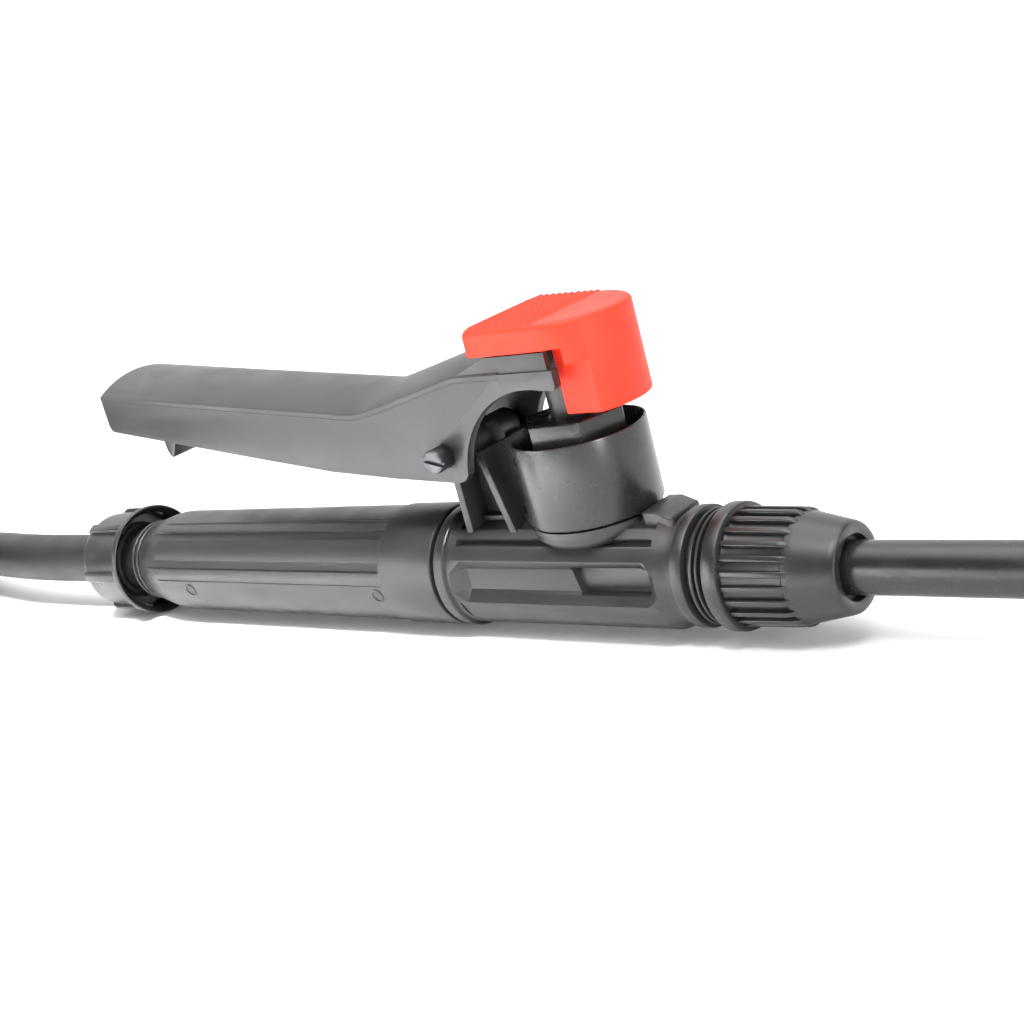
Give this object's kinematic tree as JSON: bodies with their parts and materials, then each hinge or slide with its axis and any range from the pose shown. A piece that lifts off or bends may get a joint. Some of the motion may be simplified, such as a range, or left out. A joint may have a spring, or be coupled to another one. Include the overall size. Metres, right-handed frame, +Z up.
{
  "type": "sprayer trigger handle",
  "caption": "Hand sprayer shut-off handle with a squeeze lever, a spring-closed valve, a coiled hose with a union nut, and a lance with a tilted spray nozzle.",
  "frame": {"origin": "middle of the rigid handle and lance in X and Y, on the surface that they lie on", "axes": "+X along the handle axis towards the nozzle, +Y to the far side of the lever, +Z up, with the lever on top"},
  "size_m": [0.8516, 0.1604, 0.068],
  "materials": {
    "black_plastic": "satin moulded black plastic",
    "red_plastic": "satin bright red plastic",
    "white_plastic": "satin natural plastic",
    "lance_tube": "semi-gloss black tube",
    "hose_rubber": "matt black hose",
    "seal_rubber": "matt black seal",
    "spring_steel": "bright drawn wire",
    "dark_steel": "dark zinc-plated steel"
  },
  "bodies": {
    "handle": {"grip": "black_plastic", "strainer": "white_plastic", "body_seal": "seal_rubber", "valve_body": "black_plastic", "bonnet_nut": "black_plastic", "stem_seal": "seal_rubber", "valve_spring": "spring_steel", "pivot_screw": "dark_steel", "pivot_nut": "dark_steel", "hose_barb": "black_plastic", "hose_washer": "seal_rubber", "hose": "hose_rubber", "hose_coil": "hose_rubber", "connector_barb": "black_plastic", "connector_washer": "seal_rubber", "lance_seal": "seal_rubber", "lance_collet": "black_plastic"},
    "stem": {"valve_stem": "black_plastic", "valve_disc": "seal_rubber", "thumb_head": "red_plastic"},
    "lever": {"lever": "black_plastic"},
    "hose_nut": {"hose_nut": "black_plastic"},
    "connector_nut": {"connector_nut": "black_plastic"},
    "lance_nut": {"lance_nut": "black_plastic"},
    "lance": {"lance_tube": "lance_tube", "nozzle_elbow": "black_plastic", "nozzle_seal": "seal_rubber", "swirl_plug": "white_plastic"},
    "nozzle_cap": {"nozzle_cap": "black_plastic"}
  },
  "joints": [
    {"name": "lever_pivot", "type": "hinge", "parent": "handle", "child": "lever", "pos_m": [-0.16858, 0, 0.0426], "axis": [0, -1, 0], "range_deg": [0, 9.8], "stiffness_Nm_per_rad": 3, "springref_deg": -11.46},
    {"name": "stem_slide", "type": "slide", "parent": "handle", "child": "stem", "axis": [0, 0, 1], "range_m": [0, 0.0052], "deforming": ["valve_spring"]},
    {"name": "hose_nut_turn", "type": "hinge", "parent": "handle", "child": "hose_nut", "pos_m": [-0.30967, 0, 0.014], "axis": [1, 0, 0], "continuous": true},
    {"name": "connector_nut_turn", "type": "hinge", "parent": "handle", "child": "connector_nut", "pos_m": [-0.31567, -0.12, 0.014], "axis": [1, 0, 0], "continuous": true},
    {"name": "lance_nut_turn", "type": "hinge", "parent": "handle", "child": "lance_nut", "pos_m": [-0.11417, 0, 0.014], "axis": [1, 0, 0], "continuous": true},
    {"name": "lance_turn", "type": "hinge", "parent": "handle", "child": "lance", "pos_m": [-0.09807, 0, 0.014], "axis": [1, 0, 0], "continuous": true},
    {"name": "nozzle_cap_turn", "type": "hinge", "parent": "lance", "child": "nozzle_cap", "pos_m": [0.29981, 0, 0.01617], "axis": [0.8192, 0, 0.5736], "continuous": true}
  ],
  "couplings": [
    {"joint": "stem_slide", "follows": "lever_pivot", "m_per_rad": 0.03}
  ]
}
